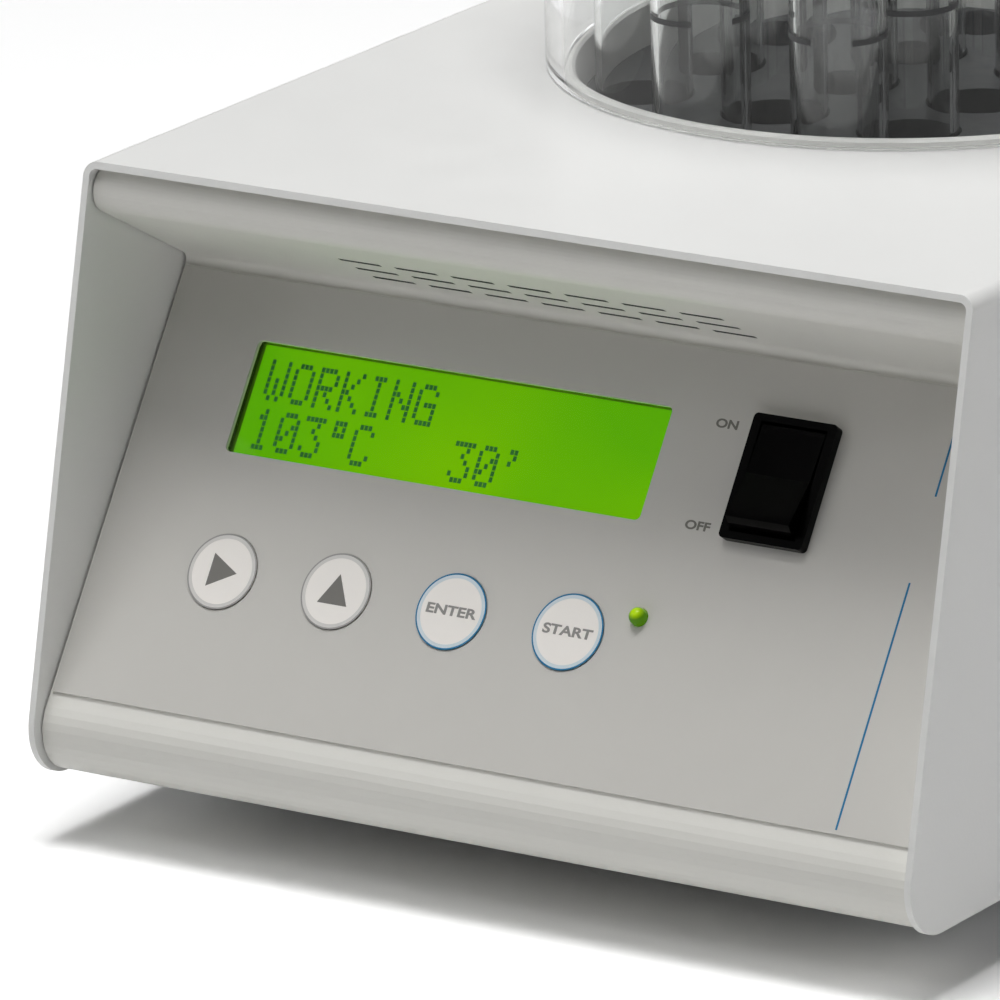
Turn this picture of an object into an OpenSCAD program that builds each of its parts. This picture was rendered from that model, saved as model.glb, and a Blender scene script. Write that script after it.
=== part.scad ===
// Bench heater for test tubes: sheet steel case, leaning front panel, round block with wells, clear guard.
// Sizes are in millimetres. The case is drawn with y = 0 at the top front edge and z = 0 at the lower
// edge of the sides, and placed() moves it so that the origin is under its middle, on the bench.

/* [Cover] */
// Width over the two sides
cover_w = 168.5; // [166:0.5:190]
// Depth of the flat top
cover_d = 238; // [236:1:280]
// Height of the sides
cover_h = 100.5; // [100:0.5:112]
// Thickness of the steel sheet
sheet_t = 1.2; // [1:0.1:1.5]
// Outer radius of the bends between top and sides
cover_bend_r = 2.5; // [2:0.1:4]
// Lean of the front edges of the sides, from vertical
side_rake = 13.3; // [12:0.1:15]
// Radius of the lower front corners of the sides
side_corner_r = 9; // [6:0.5:11]
// Distance from the lower edge of the side to the side screws
side_screw_z = 9; // [8:0.5:11]

/* [Front panel] */
// Outer radius of the nose under the top front edge
nose_r = 3.9; // [3:0.1:5]
// Gap between the cover and the top of the front panel
nose_gap = 0.4; // [0.1:0.1:0.6]
// Fall of the soffit behind the nose, from level
soffit_angle = 29; // [26:0.5:31]
// Length of the soffit
soffit_len = 27.7; // [26:0.1:28]
// Lean of the panel, from vertical
panel_tilt = 34.1; // [32:0.1:35]
// Radius of the fold between soffit and panel
knee_r = 1.5; // [1:0.1:1.6]
// Outer radius of the rounded lower edge
bullnose_r = 7.8; // [6:0.1:8]
// Height of the slots in the soffit
slot_h = 1.3; // [0.6:0.1:1.6]
// Length of the slots in the soffit
slot_len = 8; // [6:0.5:9]
// Distance between slots along a row
slot_pitch = 10.87; // [10:0.01:12]
// Distance between the rows of slots
slot_row_pitch = 5.6; // [4:0.1:6]

/* [Foil and display] */
// Height of the foil up the panel
foil_h = 74.7; // [72:0.1:75]
// Thickness of the foil
foil_t = 0.4; // [0.3:0.1:0.6]
// Width of the display window
window_w = 80.3; // [76:0.1:84]
// Height of the display window
window_h = 19.5; // [18:0.1:22]
// Middle of the window, sideways
window_x = -23.8; // [-26:0.1:-23]
// Middle of the window, up the panel
window_v = 54.4; // [54:0.1:56]
// Thickness of the window
window_t = 0.8; // [0.6:0.1:1]

/* [Keys and lamp] */
// Radius of the keys
key_r = 6.35; // [5.5:0.05:6.8]
// Distance between keys
key_pitch = 22.3; // [20:0.1:23]
// Middle of the first key, sideways
first_key_x = -57.2; // [-60:0.1:-55]
// Middle of the keys, up the panel
key_v = 24.6; // [23:0.1:25]
// Height of the keys above the panel
key_proud = 0.7; // [0.6:0.1:1.4]
// Travel of the keys
key_travel = 0.5; // [0.3:0.1:0.6]
// Radius of the indicator lamp
lamp_r = 1.5; // [1.5:0.5:2.5]
// Middle of the lamp, sideways
lamp_x = 21.7; // [20:0.1:24]
// Middle of the lamp, up the panel
lamp_v = 29; // [28:0.1:30]

/* [Rocker switch] */
// Width of the bezel
bezel_w = 15.6; // [15.6:0.1:17]
// Height of the bezel
bezel_h = 21.2; // [21:0.1:22]
// Height of the bezel above the foil
bezel_t = 1.8; // [1.6:0.1:2]
// Middle of the switch, sideways
switch_x = 40.2; // [39:0.1:42]
// Middle of the switch, up the panel
switch_v = 54.4; // [53:0.1:56]
// Swing of the rocker to each side of the middle
rocker_swing = 10; // [8:0.5:10]

/* [Block and tubes] */
// Distance from the top front edge to the middle of the block
block_y = 120; // [119:0.5:125]
// Radius of the block
block_r = 55.6; // [55:0.1:57]
// Height of the block
block_h = 60; // [56:0.5:62]
// Depth of the block's top below the cover
block_recess = 6; // [5:0.5:8]
// Distance between wells from side to side
well_pitch_x = 26.3; // [25.5:0.1:26.6]
// Distance between wells from front to back
well_pitch_y = 22; // [21:0.1:22.4]
// Depth of the wells
well_depth = 50; // [44:0.5:51]
// Outer diameter of the test tubes
tube_d = 16; // [15:0.1:16.2]
// Gap between a tube and the wall of its well
well_fit = 0.35; // [0.3:0.01:0.5]
// Length of the test tubes
tube_len = 100; // [90:1:120]
// Wall of the test tubes
tube_wall = 1.1; // [0.8:0.1:1.5]
// Height of the screw caps
cap_h = 16; // [12:0.5:20]

/* [Guard and collar] */
// Outer radius of the guard
guard_r = 61.1; // [61:0.1:64]
// Wall of the guard
guard_wall = 3; // [2.5:0.1:3]
// Height of the guard
guard_h = 85; // [70:1:120]
// Wall of the collar
collar_wall = 1.6; // [1.2:0.1:1.7]
// Height of the collar above the cover
collar_up = 1.3; // [1:0.1:4]

/* [Base and back] */
// Height of the feet under the base plate
foot_h = 12; // [9:0.5:16]
// Radius of the feet where they meet the base plate
foot_r = 9; // [8:0.5:10]
// Distance of the rear panel in front of the cover's rear edge
rear_inset = 6; // [5:0.5:8]
// Distance from the middle of the mains inlet to the side of the case
inlet_from_side = 39; // [34:1:44]
// Middle of the mains inlet, above the lower edge of the sides
inlet_z = 50; // [45:1:55]

/* [Hidden] */
$fn = 48;
FIT = 0.3;
SEAT = 0.1;
KEY_GAP = 0.2;
CUT = 1;
// Length of the cutters for holes through the sheets
DRILL = 8;
KEYS = 4;
// Wells that stand empty, as [column, row] counted from the middle of the block
EMPTY_WELLS = [[-1.5, 1], [1.5, 1], [-0.5, 2], [0.5, 2]];
// Rows of wells: [row, number of wells]
WELL_ROWS = [[-2, 2], [-1, 4], [0, 4], [1, 4], [2, 2]];
WELLS = [for (row = WELL_ROWS) for (i = [0 : row[1] - 1]) [i - (row[1] - 1) / 2, row[0]]];
TUBE_WELLS = [for (w = WELLS) if (len([for (e = EMPTY_WELLS) if (e == w) e]) == 0) w];
TUBES = len(TUBE_WELLS);

// Side plate and placing
corner_y = side_corner_r / cos(side_rake) - tan(side_rake) * (cover_h - side_corner_r);
front_y = corner_y - side_corner_r;
middle_y = (front_y + cover_d) / 2;
inner_w = cover_w - 2 * sheet_t;
panel_w = inner_w - 2 * FIT;
base_z = 0.4;
floor_z = base_z + sheet_t;
floor_top = floor_z + sheet_t;
rear_y = cover_d - rear_inset;
under_top = cover_h - sheet_t;

// Folded front panel, as corner points [y, z] of its outer face and the radius at each
soffit_way = [cos(soffit_angle), -sin(soffit_angle)];
panel_way = [-sin(panel_tilt), -cos(panel_tilt)];
nose_top = under_top - nose_gap;
soffit_start = [nose_r, nose_top - nose_r] - nose_r * [sin(soffit_angle), cos(soffit_angle)];
knee = soffit_start + soffit_len * soffit_way;
nose_point = soffit_start + (soffit_start[1] - nose_top) / sin(soffit_angle) * soffit_way;
bullnose_point = knee + (knee[1] - base_z) / cos(panel_tilt) * panel_way;
top_flange_y = 20;
base_front_y = bullnose_point[0] + bullnose_r * tan((90 + panel_tilt) / 2) + 3;
bottom_flange_y = base_front_y + 14;
front_path = [[top_flange_y, nose_top], nose_point, knee, bullnose_point, [bottom_flange_y, base_z]];
front_bends = [0, nose_r, knee_r, bullnose_r, 0];
foil_drop = 1.9;
foil_base = knee + (foil_drop + foil_h) * panel_way;
slot_rows = 3;
slots_in_row = 7;
slot_first_row = 10.3;
slot_middle_x = -5.6;

// Rear panel, as corner points of its outer face
rear_flange = 11;
rear_bend_r = 2.4;
rear_top = under_top - FIT;
rear_path = [[rear_y - rear_flange, floor_top], [rear_y, floor_top], [rear_y, rear_top],
    [rear_y - rear_flange, rear_top]];
rear_bends = [0, rear_bend_r, rear_bend_r, 0];

// Things behind the panel, as depths below its outer face
glass_t = 2.4;
glass_front = sheet_t + 0.15;
glass_back = glass_front + glass_t;
display_board_front = glass_back + 3.4;
board_t = 1.6;
glass_w = window_w + 8;
glass_h = window_h + 7;
display_board_w = glass_w + 1;
display_board_h = glass_h + 11;
spacer_inset = 2.5;
control_board_front = 10;
control_board_w = 100;
control_board_h = 20;
control_board_x = -20;
key_flange_r = key_r + 0.9;
key_hole_r = key_r + KEY_GAP;
key_flange_t = 0.8;
plunger_top = control_board_front - 4.3;
spacer_r = 2;
spacer_hole_r = 1.3;

// Switch
switch_body_w = 14;
switch_body_h = bezel_h - 1.6;
switch_body_depth = 17;
rocker_w = 11.8;
rocker_cavity_w = rocker_w + 2 * FIT;
rocker_reach = bezel_h / 2 - 1.5;
rocker_gap = 0.25;
pivot_r = 1.2;
pivot_fit = 0.05;

// Block and what hangs on it
block_top = cover_h - block_recess;
block_bottom = block_top - block_h;
well_r = tube_d / 2 + well_fit;
well_bottom = block_top - well_depth;
heater_r = 42;
heater_t = 3;
clamp_r = 44;
clamp_t = 2.5;
clamp_hole_r = 5;
clamp_screw_ring = 30;
clamp_bottom = block_bottom - heater_t - clamp_t;
screw_r = 2;
screw_hole_r = 2.2;
screw_head_r = 3.6;
screw_head_h = 2.2;
screw_len = 6;
pillar_screw_len = 3;
inlet_screw_len = 10;
foot_screw_seat = 4;
probe_r = 1.5;
probe_len = 40;
probe_tail = 10;
pillar_r = 4;
pillar_ring = 49.5;
jacket_r = 66;
jacket_z = 36;
collar_r = block_r + 0.6;
collar_outer = collar_r + collar_wall;
collar_lap = 8;
collar_bottom = block_top - collar_lap;
collar_flange_r = collar_outer + 3;
collar_flange_t = 1.5;

// Tubes
tube_r = tube_d / 2;
tube_z = well_bottom + FIT;
cap_r = tube_r + 1;
cap_skirt = 12;

// Mains inlet
inlet_body = [27, 24, 31];
inlet_flange = [50, 2.5, 33];
inlet_screw_span = 40;
socket_size = [24.2, 16.6];
socket_z = 5.9;
socket_depth = 15;
drawer_hole = [22, 7.6];
drawer_z = -9.6;
drawer_depth = 20;

// Power side
power_board_x = [9 - inner_w / 2, 14];
transformer_core = [31, 14, 28];
power_board_y = [rear_y - 47, rear_y - 14];
power_board_z = 9;
power_board_top = power_board_z + board_t;
inlet_x = cover_w / 2 - inlet_from_side;
rear_slot_x = 19 - panel_w / 2;
feet_x = cover_w / 2 - 24;
feet_y = [40, cover_d - 26];
case_screw_y = [62, cover_d - 40];
flange_screw_x = 50;
rear_screw_x = panel_w / 2 - 20;
inlet_screw_r = 1.5;
base_flange_h = side_screw_z + 6;

module placed() {
    translate([0, -middle_y, foot_h - floor_z]) children();
}

module along_x(w) {
    translate([-w / 2, 0, 0]) rotate([90, 0, 90]) linear_extrude(w) children();
}

module along_y(from, to) {
    translate([0, to, 0]) rotate([90, 0, 0]) linear_extrude(to - from) children();
}

// Local axes on the panel: x sideways, y up the slope from the foil's lower edge, z out of the face
module on_panel(x, v, out = 0) {
    translate([0, foil_base[0], foil_base[1]])
        rotate([90 - panel_tilt, 0, 0]) translate([x, v, out]) children();
}

// Local axes on the soffit: x sideways, y back along it from the nose
module on_soffit(x, s) {
    translate([0, soffit_start[0], soffit_start[1]])
        rotate([-soffit_angle, 0, 0]) translate([x, s, 0]) children();
}

module at_block(x = 0, y = 0, z = 0) {
    translate([x, block_y + y, z]) children();
}

module rounded_rect(w, h, r) {
    square([w - 2 * r, h], center = true);
    square([w, h - 2 * r], center = true);
    for (sx = [-1, 1], sy = [-1, 1]) translate([sx * (w / 2 - r), sy * (h / 2 - r)]) circle(r);
}

module slab(w, h, t) {
    translate([-w / 2, -h / 2, -t]) cube([w, h, t]);
}

module ring(outer, inner, h) {
    difference() {
        cylinder(r = outer, h = h);
        translate([0, 0, -CUT]) cylinder(r = inner, h = h + 2 * CUT);
    }
}

// A sheet folded along a path of [y, z] corners, with a radius on the outer face at each corner.
// The sheet lies to the left of the path.
function way(path, i) = (path[i + 1] - path[i]) / norm(path[i + 1] - path[i]);
function to_left(v) = [-v[1], v[0]];
function side_of(a, b) = a[0] * b[1] - a[1] * b[0] > 0 ? 1 : -1;
function bend_steps(turn) = ceil(turn / 10);
function bend_points(path, radii, i, depth) =
    let (a = way(path, i - 1), b = way(path, i), side = side_of(a, b), turn = acos(a * b))
    let (middle = path[i] - a * radii[i] * tan(turn / 2) + side * radii[i] * to_left(a))
    let (start = -side * to_left(a), r = radii[i] - side * depth, n = bend_steps(turn))
    [for (k = [0 : n]) let (t = side * turn * k / n)
        middle + r * [start[0] * cos(t) - start[1] * sin(t), start[0] * sin(t) + start[1] * cos(t)]];
function face_points(path, radii, depth) =
    let (last = len(path) - 1)
    concat([path[0] + depth * to_left(way(path, 0))],
        [for (i = [1 : last - 1]) for (p = bend_points(path, radii, i, depth)) p],
        [path[last] + depth * to_left(way(path, last - 1))]);
function reversed(list) = [for (i = [len(list) - 1 : -1 : 0]) list[i]];

module folded_sheet(path, radii, w) {
    along_x(w) polygon(concat(face_points(path, radii, 0), reversed(face_points(path, radii, sheet_t))));
}

module side_outline() {
    polygon([[0, cover_h],
        [corner_y - side_corner_r * cos(side_rake), side_corner_r * (1 + sin(side_rake))],
        [corner_y, side_corner_r], [corner_y, 0], [cover_d, 0], [cover_d, cover_h]]);
    translate([corner_y, side_corner_r]) circle(side_corner_r);
}

// Three-sided section with the open side down: outer width, height above z = 0, and outer bend radius
module channel(w, h, r) {
    difference() {
        channel_fill(w, h, r);
        channel_fill(w - 2 * sheet_t, h - sheet_t, r - sheet_t);
    }
}

module channel_fill(w, h, r) {
    translate([-w / 2, -CUT]) square([w, h - r + CUT]);
    translate([r - w / 2, 0]) square([w - 2 * r, h]);
    for (sx = [-1, 1]) translate([sx * (w / 2 - r), h - r]) circle(r);
}

module cover() {
    color("#dcdcd8") placed() difference() {
        intersection() {
            along_y(front_y - CUT, cover_d + CUT) channel(cover_w, cover_h, cover_bend_r);
            along_x(cover_w + 2 * CUT) side_outline();
        }
        at_block(0, 0, cover_h / 2) cylinder(r = collar_outer + SEAT, h = cover_h);
        case_screw_places() cylinder(r = screw_hole_r, h = DRILL, center = true);
    }
}

// Places of the screws in the sides, z out of the side
module case_screw_places() {
    for (side = [-1, 1], y = case_screw_y) {
        translate([side * cover_w / 2, y, side_screw_z]) rotate([0, side * 90, 0]) children();
    }
}

module front_panel() {
    color("#c9cbc4") placed() difference() {
        folded_sheet(front_path, front_bends, panel_w);
        for (row = [0 : slot_rows - 1], i = [0 : slots_in_row - 1]) {
            x = slot_middle_x + (i - (slots_in_row - 1) / 2) * slot_pitch;
            on_soffit(x, slot_first_row + row * slot_row_pitch)
                cube([slot_len, slot_h, DRILL], center = true);
        }
        on_panel(window_x, window_v, -2 * sheet_t) linear_extrude(3 * sheet_t)
            rounded_rect(window_w + 2 * SEAT, window_h + 2 * SEAT, 1);
        on_panel(switch_x, switch_v, CUT)
            slab(switch_body_w + 2 * SEAT, switch_body_h + 2 * SEAT, 2 * CUT + sheet_t);
        for (i = [0 : KEYS - 1]) {
            on_panel(first_key_x + i * key_pitch, key_v)
                cylinder(r = key_hole_r, h = DRILL, center = true);
        }
        on_panel(lamp_x, lamp_v) cylinder(r = lamp_r + SEAT, h = DRILL, center = true);
        flange_screw_places() cylinder(r = screw_hole_r, h = DRILL, center = true);
    }
}

// Places of the two screws that hold the lower flange of the front panel to the base plate
module flange_screw_places() {
    for (side = [-1, 1]) translate([side * flange_screw_x, base_front_y + 7, base_z]) children();
}

module front_foil() {
    color("#a9aaa8") placed() difference() {
        on_panel(0, foil_h / 2, foil_t) slab(panel_w - 1, foil_h, foil_t);
        on_panel(window_x, window_v, -CUT) linear_extrude(3 * CUT) rounded_rect(window_w, window_h, 1);
        on_panel(switch_x, switch_v, CUT) slab(switch_body_w + 2 * SEAT, switch_body_h + 2 * SEAT, 3 * CUT);
        for (i = [0 : KEYS - 1]) {
            on_panel(first_key_x + i * key_pitch, key_v)
                cylinder(r = key_hole_r, h = 4 * CUT, center = true);
        }
        on_panel(lamp_x, lamp_v) cylinder(r = lamp_r + SEAT, h = 4 * CUT, center = true);
    }
}

module base_plate() {
    vent = [26, 3];
    vent_pitch = 8;
    vent_x = 22;
    color("#b9bbb6") placed() difference() {
        union() {
            along_y(base_front_y, rear_y)
                translate([0, floor_z + sheet_t / 2]) square([panel_w, sheet_t], center = true);
            along_y(base_front_y + 8, rear_y - rear_flange - 1) for (side = [-1, 1]) {
                translate([side * (panel_w - sheet_t) / 2, floor_z + base_flange_h / 2])
                    square([sheet_t, base_flange_h], center = true);
            }
        }
        for (side = [-1, 1], i = [-3 : 3]) {
            at_block(side * vent_x, i * vent_pitch, floor_z) cube([vent[0], vent[1], DRILL], center = true);
        }
        foot_places() cylinder(r = screw_hole_r, h = DRILL, center = true);
        pillar_places(floor_z) cylinder(r = screw_hole_r, h = DRILL, center = true);
        flange_screw_places() cylinder(r = screw_hole_r, h = DRILL, center = true);
        rear_screw_places() cylinder(r = screw_hole_r, h = DRILL, center = true);
        case_screw_places() cylinder(r = screw_hole_r, h = DRILL, center = true);
    }
}

module foot_places() {
    for (side = [-1, 1], y = feet_y) translate([side * feet_x, y, floor_z]) children();
}

module pillar_places(z) {
    for (a = [45 : 90 : 315]) at_block(pillar_ring * cos(a), pillar_ring * sin(a), z) children();
}

// Places of the screws that hold the lower flange of the rear panel to the base plate
module rear_screw_places() {
    for (side = [-1, 1]) translate([side * rear_screw_x, rear_y - rear_flange / 2, floor_z]) children();
}

// Places of the screws of the mains inlet, z into the case
module inlet_screw_places() {
    for (side = [-1, 1]) {
        translate([inlet_x + side * inlet_screw_span / 2, rear_y + inlet_flange[1], inlet_z])
            rotate([90, 0, 0]) children();
    }
}

module rear_panel() {
    vent = [10, 3];
    vent_pitch = [14, 9];
    vents = 5;
    lowest_z = cover_h * 0.4;
    color("#c9cbc4") placed() difference() {
        folded_sheet(rear_path, rear_bends, panel_w);
        translate([inlet_x, rear_y, inlet_z])
            cube([inlet_body[0] + 2 * SEAT, 4 * sheet_t, inlet_body[2] + 2 * SEAT], center = true);
        inlet_screw_places() cylinder(r = inlet_screw_r + SEAT, h = DRILL, center = true);
        rear_screw_places() cylinder(r = screw_hole_r, h = DRILL, center = true);
        for (row = [0 : vents - 1], i = [0 : vents - 1]) {
            translate([rear_slot_x + i * vent_pitch[0], rear_y, lowest_z + row * vent_pitch[1]])
                cube([vent[0], 4 * sheet_t, vent[1]], center = true);
        }
    }
}

// A foot with a deep hole for its screw, its top at z = 0
module foot() {
    rotate_extrude() difference() {
        polygon([[screw_hole_r, 0], [foot_r, 0], [foot_r, -2], [foot_r - 1.5, 1 - foot_h],
            [foot_r - 2.5, -foot_h], [screw_hole_r, -foot_h]]);
        translate([0, -foot_h - CUT]) square([screw_head_r + FIT, foot_h - foot_screw_seat + CUT]);
    }
}

module feet() {
    color("#2a2a2c") placed() foot_places() foot();
}

// A pan-head screw, head down, its shank starting at z = 0
module pan_screw(shank) {
    cylinder(r = screw_r, h = shank);
    translate([0, 0, -screw_head_h]) cylinder(r1 = screw_head_r - 0.7, r2 = screw_head_r, h = screw_head_h);
}

module foot_screws() {
    color("#c0c2c4") placed() foot_places()
        translate([0, 0, -foot_screw_seat]) pan_screw(foot_screw_seat + 4);
}

// Screws in the two sides, in the lower flanges, under the pillars and in the mains inlet
module case_screws() {
    color("#c0c2c4") placed() {
        case_screw_places() rotate([180, 0, 0]) pan_screw(screw_len);
        flange_screw_places() pan_screw(screw_len);
        rear_screw_places() pan_screw(screw_len);
        pillar_places(floor_z) pan_screw(pillar_screw_len);
        inlet_screw_places() scale(inlet_screw_r / screw_r) pan_screw(inlet_screw_len);
    }
}

module display_window() {
    below_foil = 0.5;
    color("#8fd020", 0.6) placed() on_panel(window_x, window_v, foil_t - below_foil - window_t)
        linear_extrude(window_t) rounded_rect(window_w - 2 * SEAT, window_h - 2 * SEAT, 0.9);
}

module display_glass() {
    color("#6ab010") placed() on_panel(window_x, window_v, -glass_front) slab(glass_w, glass_h, glass_t);
}

// The board with the lamps behind the glass, which fill the room between the two
module display_board() {
    backlight_t = display_board_front - glass_back;
    color("#20603a") placed() difference() {
        on_panel(window_x, window_v) {
            translate([0, 0, -display_board_front]) slab(display_board_w, display_board_h, board_t);
            translate([0, 0, -glass_back]) slab(glass_w - 2, glass_h - 1, backlight_t);
        }
        display_spacer_places() cylinder(r = spacer_hole_r, h = 2 * foil_h, center = true);
    }
}

module display_spacer_places() {
    x = display_board_w / 2 - spacer_inset;
    v = display_board_h / 2 - spacer_inset;
    for (sx = [-1, 1], sy = [-1, 1]) on_panel(window_x + sx * x, window_v + sy * v) children();
}

module control_spacer_places() {
    x = control_board_w / 2 - spacer_inset;
    for (sx = [-1, 1]) on_panel(control_board_x + sx * x, key_v - 7) children();
}

// The board behind the keys, with a push switch and its plunger under each key
module control_board() {
    button = [6, 6, 3.5];
    plunger_r = 1.7;
    color("#20603a") placed() {
        difference() {
            on_panel(control_board_x, key_v, -control_board_front)
                slab(control_board_w, control_board_h, board_t);
            control_spacer_places() cylinder(r = spacer_hole_r, h = 2 * foil_h, center = true);
        }
        for (i = [0 : KEYS - 1]) on_panel(first_key_x + i * key_pitch, key_v, -control_board_front) {
            translate([0, 0, button[2] / 2]) cube(button, center = true);
            cylinder(r = plunger_r, h = control_board_front - plunger_top);
        }
    }
}

module board_spacers() {
    color("#d8d8d0") placed() {
        display_spacer_places() spacer(display_board_front);
        control_spacer_places() spacer(control_board_front);
    }
}

// A spacer from the back of the panel down to the front of a board
module spacer(board_front) {
    translate([0, 0, -board_front]) ring(spacer_r, spacer_hole_r, board_front - sheet_t);
}

// A key: slightly domed cap, a flange that holds it behind the sheet and a stem down to its contact
module key(i) {
    stem_r = 1.6;
    edge = 0.35;
    crown = 0.08;
    flange_top = -sheet_t - 0.2;
    flange_bottom = flange_top - key_flange_t;
    stem_end = -plunger_top + key_travel + 0.1;
    color("#e6e4df") placed() on_panel(first_key_x + (i - 1) * key_pitch, key_v) rotate_extrude() polygon([
        [0, stem_end], [stem_r, stem_end], [stem_r, flange_bottom], [key_flange_r, flange_bottom],
        [key_flange_r, flange_top], [key_r, flange_top], [key_r, key_proud - edge],
        [key_r - edge, key_proud - crown], [key_r / 2, key_proud], [0, key_proud]]);
}

module indicator_lamp() {
    dome_z = foil_t + 0.5;
    rim_z = -4;
    color("#6fbf1a") placed() on_panel(lamp_x, lamp_v) {
        translate([0, 0, dome_z]) sphere(lamp_r);
        translate([0, 0, rim_z]) cylinder(r = lamp_r, h = dome_z - rim_z);
        translate([0, 0, rim_z]) cylinder(r = lamp_r + 0.4, h = 1);
        for (side = [-1, 1]) translate([side * 0.9, 0, -control_board_front])
            cylinder(r = 0.3, h = control_board_front + rim_z);
    }
}

// Bezel and body, with the room for the rocker and its pins, and three terminals
module switch_body() {
    top = foil_t + bezel_t;
    shelf = 2.8;
    well = 8;
    terminal = [4.8, 0.8, 8];
    color("#141415") placed() on_panel(switch_x, switch_v) difference() {
        union() {
            translate([0, 0, foil_t]) linear_extrude(bezel_t) rounded_rect(bezel_w, bezel_h, 0.8);
            translate([0, 0, foil_t + CUT])
                slab(switch_body_w, switch_body_h, foil_t + CUT + switch_body_depth);
            for (y = [-6, 0, 6]) translate([0, y, -switch_body_depth])
                slab(terminal[0], terminal[1], terminal[2]);
        }
        translate([0, 0, top + CUT])
            slab(rocker_cavity_w, 2 * (rocker_reach + rocker_gap), top + CUT + shelf);
        slab(rocker_cavity_w, 2 * (rocker_reach - 0.5), well);
        rotate([0, 90, 0]) cylinder(r = pivot_r + pivot_fit, h = switch_body_w - 0.6, center = true);
    }
}

// The rocker turns about the middle of its two pins. Its ends are arcs about them, so that no gap opens.
module switch_rocker() {
    end = rocker_reach;
    color("#0c0c0d") placed() on_panel(switch_x, switch_v) rotate([-rocker_swing, 0, 0]) {
        along_x(rocker_w) intersection() {
            circle(end);
            polygon([[-end, 3.6], [0, 2.6], [end, 3.6], [end, -0.6], [end - 1, -1.6], [4.5, -5], [-4.5, -5],
                [1 - end, -1.6], [-end, -0.6]]);
        }
        rotate([0, 90, 0]) cylinder(r = pivot_r, h = switch_body_w - 0.8, center = true);
    }
}

module collar() {
    flange_z = under_top - collar_flange_t;
    color("#e4e3df") placed() at_block() rotate_extrude() polygon([
        [collar_r, collar_bottom], [collar_outer, collar_bottom], [collar_outer, flange_z],
        [collar_flange_r, flange_z], [collar_flange_r, under_top], [collar_outer, under_top],
        [collar_outer, cover_h + collar_up - 0.5], [collar_outer - 0.5, cover_h + collar_up],
        [collar_r + 0.5, cover_h + collar_up], [collar_r, cover_h + collar_up - 0.5]]);
}

module guard() {
    inner = guard_r - guard_wall;
    bottom = cover_h + SEAT;
    top = cover_h + guard_h;
    edge = 0.8;
    color("#dfe8ea", 0.3) placed() at_block() rotate_extrude() polygon([
        [inner, bottom], [guard_r - edge / 2, bottom], [guard_r, bottom + edge / 2],
        [guard_r, top - edge], [guard_r - edge, top], [inner + edge, top], [inner, top - edge]]);
}

module well(z = 0) {
    translate([0, 0, z + well_r]) cylinder(r = well_r, h = well_depth - well_r + CUT);
    translate([0, 0, z + well_r]) sphere(well_r);
}

module at_wells(list) {
    for (w = list) at_block(w[0] * well_pitch_x, w[1] * well_pitch_y) children();
}

module clamp_screw_places() {
    for (a = [90 : 120 : 330])
        at_block(clamp_screw_ring * cos(a), clamp_screw_ring * sin(a), clamp_bottom) children();
}

module heating_block() {
    color("#4b4c4e") placed() difference() {
        at_block(0, 0, block_bottom) cylinder(r = block_r, h = block_h, $fn = 96);
        at_wells(WELLS) well(well_bottom);
        at_block(0, 0, block_bottom - CUT)
            cylinder(r = probe_r + SEAT, h = probe_len - probe_tail + 1 + CUT);
        clamp_screw_places() cylinder(r = screw_r + SEAT, h = heater_t + clamp_t + screw_len + 1);
    }
}

module block_heater() {
    color("#a06a3a") placed() difference() {
        at_block(0, 0, block_bottom - heater_t) ring(heater_r, clamp_hole_r, heater_t);
        clamp_screw_places() cylinder(r = screw_hole_r, h = 2 * DRILL);
    }
}

module heater_clamp() {
    color("#b8bcc0") placed() difference() {
        at_block(0, 0, clamp_bottom) ring(clamp_r, clamp_hole_r, clamp_t);
        clamp_screw_places() cylinder(r = screw_hole_r, h = DRILL, center = true);
    }
}

module clamp_screws() {
    color("#c0c2c4") placed() clamp_screw_places() pan_screw(heater_t + clamp_t + screw_len);
}

module temperature_probe() {
    color("#c8ccd0") placed() at_block(0, 0, block_bottom - probe_tail) {
        cylinder(r = probe_r, h = probe_len);
        cylinder(r = probe_r + 1.5, h = 3);
    }
}

module overheat_cutout() {
    can = [8, 9];
    blade = [0.8, 6, 8];
    color("#8e8f92") placed() at_block(15, 13, clamp_bottom - can[1]) {
        cylinder(r = can[0], h = can[1]);
        for (side = [-1, 1]) translate([side * can[0] / 2, 0, -blade[2] / 2]) cube(blade, center = true);
    }
}

module insulation_jacket() {
    color("#d9d3bf") placed() at_block(0, 0, jacket_z)
        ring(jacket_r, block_r + FIT, collar_bottom - SEAT - jacket_z);
}

module block_pillars() {
    color("#e8e4da") placed() pillar_places(floor_top)
        ring(pillar_r, screw_hole_r, block_bottom - floor_top);
}

module power_board() {
    w = power_board_x[1] - power_board_x[0];
    d = power_board_y[1] - power_board_y[0];
    post = [3, 4];
    relay = [19, 15.5, 15];
    capacitor = [5, 20];
    color("#20603a") placed() translate([power_board_x[0], power_board_y[0], 0]) {
        translate([0, 0, power_board_z]) cube([w, d, board_t]);
        for (x = [post[1], w - post[1]], y = [post[1], d - post[1]]) {
            translate([x, y, floor_top]) cylinder(r = post[0], h = power_board_z - floor_top);
        }
        translate([w - 41, 12, power_board_top]) cube(relay);
        translate([w - 15, d - 7, power_board_top]) cylinder(r = capacitor[0], h = capacitor[1]);
    }
}

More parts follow.
